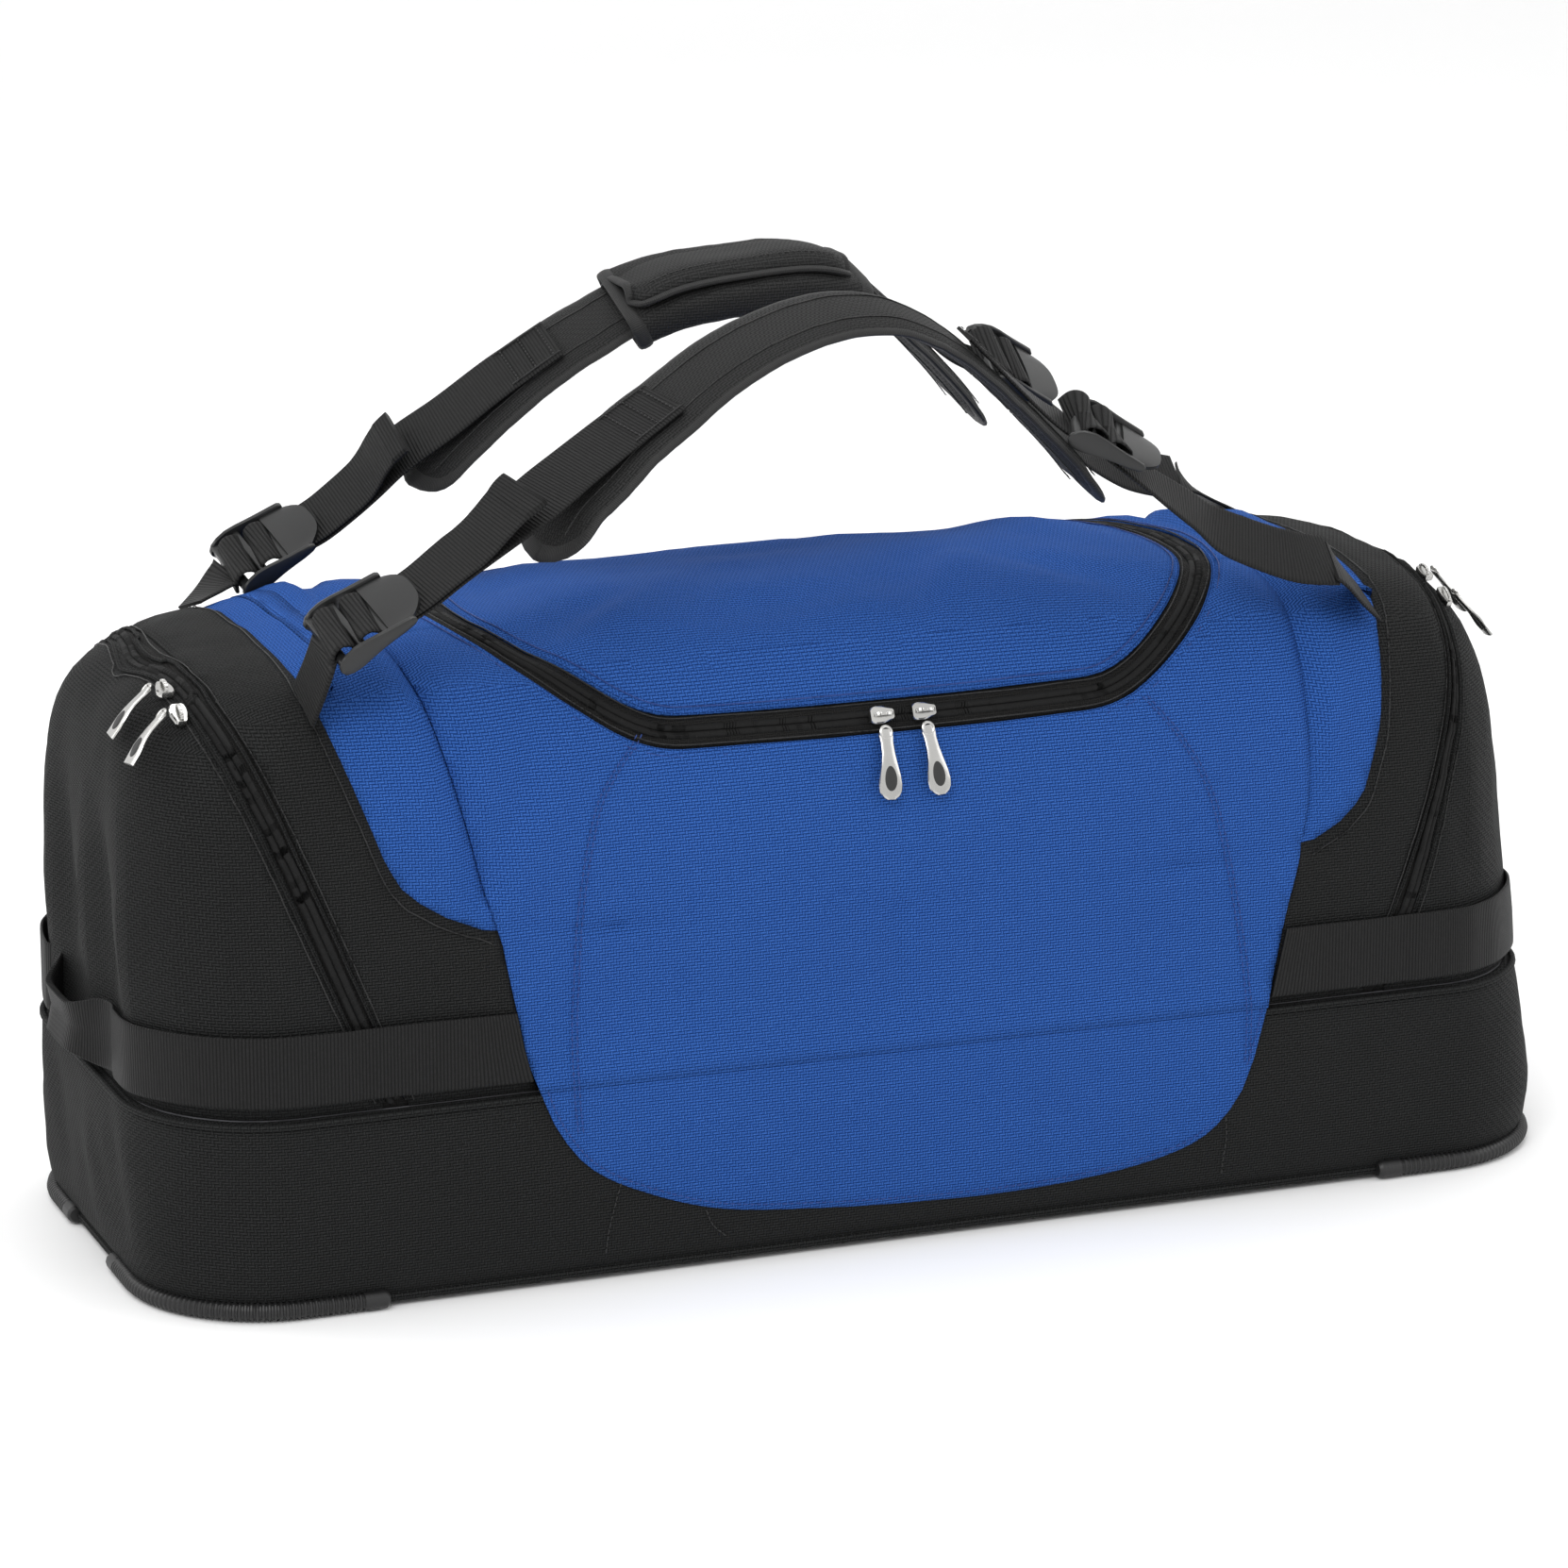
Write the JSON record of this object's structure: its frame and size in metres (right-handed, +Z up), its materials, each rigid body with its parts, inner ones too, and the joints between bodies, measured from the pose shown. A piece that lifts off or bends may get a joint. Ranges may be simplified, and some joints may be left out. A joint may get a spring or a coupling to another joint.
{
  "type": "duffel bag",
  "caption": "Large boxy duffel with base compartment, zipped dome lid, zipped ends, end grab handles and two padded straps with a handle wrap.",
  "frame": {"origin": "bottom centre of the bounding box, on the floor", "axes": "+X along the length, to the right seen from the front; -Y towards the front panel; +Z up"},
  "size_m": [0.8287, 0.3089, 0.5082],
  "materials": {
    "blue_fabric": "satin weave",
    "black_fabric": "satin weave",
    "black_webbing": "ribbed",
    "black_plastic": "satin",
    "zip_tape": "herringbone",
    "silver_metal": "polished",
    "grey_liner": "matt"
  },
  "bodies": {
    "root": {"base_board": "grey_liner", "base_piping_front": "black_fabric", "base_piping_left": "black_fabric", "base_piping_rear": "black_fabric", "base_piping_right": "black_fabric", "base_tub": "black_fabric", "centre_shell": "blue_fabric", "corner_guard_front_left": "black_plastic", "corner_guard_front_right": "black_plastic", "corner_guard_rear_left": "black_plastic", "corner_guard_rear_right": "black_plastic", "divider_floor": "grey_liner", "front_cover_panel": "blue_fabric", "front_strap_anchor_left": "black_webbing", "front_strap_anchor_right": "black_webbing", "gusset_left": "black_fabric", "gusset_right": "black_fabric", "lid_zip_tape_body_side": "zip_tape", "rear_strap_anchor_left": "black_webbing", "rear_strap_anchor_right": "black_webbing", "webbing_band_left": "black_webbing", "webbing_band_right": "black_webbing"},
    "lid": {"lid_panel": "blue_fabric", "lid_zip_tape_lid_side": "zip_tape"},
    "divider_flap_body": {"divider_flap": "grey_liner"},
    "end_door_left_body": {"end_door_left": "black_fabric"},
    "end_door_right_body": {"end_door_right": "black_fabric"},
    "wrap_flap_body": {"handle_wrap_flap": "black_fabric"},
    "main_slider_left_body": {"main_slider_left": "silver_metal"},
    "main_pull_left_body": {"main_pull_left": "silver_metal"},
    "end_slider_left_a_body": {"end_slider_left_a": "silver_metal"},
    "end_pull_left_a_body": {"end_pull_left_a": "silver_metal"},
    "end_slider_left_b_body": {"end_slider_left_b": "silver_metal"},
    "end_pull_left_b_body": {"end_pull_left_b": "silver_metal"},
    "main_slider_right_body": {"main_slider_right": "silver_metal"},
    "main_pull_right_body": {"main_pull_right": "silver_metal"},
    "end_slider_right_a_body": {"end_slider_right_a": "silver_metal"},
    "end_pull_right_a_body": {"end_pull_right_a": "silver_metal"},
    "end_slider_right_b_body": {"end_slider_right_b": "silver_metal"},
    "end_pull_right_b_body": {"end_pull_right_b": "silver_metal"},
    "front_strap": {"front_buckle_lower": "black_plastic", "front_buckle_upper": "black_plastic", "front_strap_pad": "black_fabric", "front_strap_webbing_left": "black_webbing", "front_strap_webbing_right": "black_webbing"},
    "rear_strap": {"rear_buckle_lower": "black_plastic", "rear_buckle_upper": "black_plastic", "rear_strap_pad": "black_fabric", "rear_strap_webbing_left": "black_webbing", "rear_strap_webbing_right": "black_webbing", "handle_wrap": "black_fabric"}
  },
  "joints": [
    {"name": "lid_open", "type": "hinge", "parent": "root", "child": "lid", "pos_m": [0, 0.0965, 0.32557], "axis": [-1, 0, 0], "range_deg": [0, 50]},
    {"name": "front_strap_fold", "type": "hinge", "parent": "root", "child": "front_strap", "pos_m": [0, -0.122, 0.368], "axis": [1, 0, 0], "range_deg": [0, 150]},
    {"name": "rear_strap_fold", "type": "hinge", "parent": "root", "child": "rear_strap", "pos_m": [0, 0.105, 0.368], "axis": [-1, 0, 0], "range_deg": [0, 75]},
    {"name": "wrap_flap_open", "type": "hinge", "parent": "rear_strap", "child": "wrap_flap_body", "pos_m": [0, 0.08522, 0.50721], "axis": [-1, 0, 0], "range_deg": [0, 110]},
    {"name": "divider_lift", "type": "hinge", "parent": "root", "child": "divider_flap_body", "pos_m": [0, 0.109, 0.1088], "axis": [-1, 0, 0], "range_deg": [0, 55]},
    {"name": "end_door_left_open", "type": "hinge", "parent": "root", "child": "end_door_left_body", "pos_m": [-0.4052, 0, 0.1575], "axis": [0, -1, 0], "range_deg": [0, 75]},
    {"name": "end_door_right_open", "type": "hinge", "parent": "root", "child": "end_door_right_body", "pos_m": [0.38765, 0, 0.1575], "axis": [0, 1, 0], "range_deg": [0, 75]},
    {"name": "main_slider_left_run", "type": "slide", "parent": "lid", "child": "main_slider_left_body", "axis": [-1, 0, 0], "range_m": [0, 0.07]},
    {"name": "main_slider_right_run", "type": "slide", "parent": "lid", "child": "main_slider_right_body", "axis": [1, 0, 0], "range_m": [0, 0.06]},
    {"name": "main_pull_left_lift", "type": "hinge", "parent": "main_slider_left_body", "child": "main_pull_left_body", "pos_m": [-0.004, -0.13584, 0.28077], "axis": [-1, 0, 0], "range_deg": [0, 95]},
    {"name": "main_pull_right_lift", "type": "hinge", "parent": "main_slider_right_body", "child": "main_pull_right_body", "pos_m": [0.02, -0.13584, 0.28077], "axis": [-1, 0, 0], "range_deg": [0, 95]},
    {"name": "end_slider_left_a_run", "type": "slide", "parent": "end_door_left_body", "child": "end_slider_left_a_body", "axis": [0, -0.8743, -0.4855], "range_m": [0, 0.028]},
    {"name": "end_pull_left_a_lift", "type": "hinge", "parent": "end_slider_left_a_body", "child": "end_pull_left_a_body", "pos_m": [-0.38487, -0.09004, 0.31527], "axis": [0, 1, 0], "range_deg": [0, 80]},
    {"name": "end_slider_left_b_run", "type": "slide", "parent": "end_door_left_body", "child": "end_slider_left_b_body", "axis": [0, 0.9763, 0.2162], "range_m": [0, 0.05]},
    {"name": "end_pull_left_b_lift", "type": "hinge", "parent": "end_slider_left_b_body", "child": "end_pull_left_b_body", "pos_m": [-0.38487, -0.06291, 0.3225], "axis": [0, 1, 0], "range_deg": [0, 80]},
    {"name": "end_slider_right_a_run", "type": "slide", "parent": "end_door_right_body", "child": "end_slider_right_a_body", "axis": [0, -0.8743, -0.4855], "range_m": [0, 0.028]},
    {"name": "end_pull_right_a_lift", "type": "hinge", "parent": "end_slider_right_a_body", "child": "end_pull_right_a_body", "pos_m": [0.35672, -0.09004, 0.31527], "axis": [0, -1, 0], "range_deg": [0, 80]},
    {"name": "end_slider_right_b_run", "type": "slide", "parent": "end_door_right_body", "child": "end_slider_right_b_body", "axis": [0, 0.9763, 0.2162], "range_m": [0, 0.05]},
    {"name": "end_pull_right_b_lift", "type": "hinge", "parent": "end_slider_right_b_body", "child": "end_pull_right_b_body", "pos_m": [0.35672, -0.06291, 0.3225], "axis": [0, -1, 0], "range_deg": [0, 80]}
  ],
  "couplings": [
    {"joint": "front_strap_fold", "follows": "lid_open", "ratio": 3},
    {"joint": "rear_strap_fold", "follows": "lid_open", "ratio": 1.5}
  ]
}
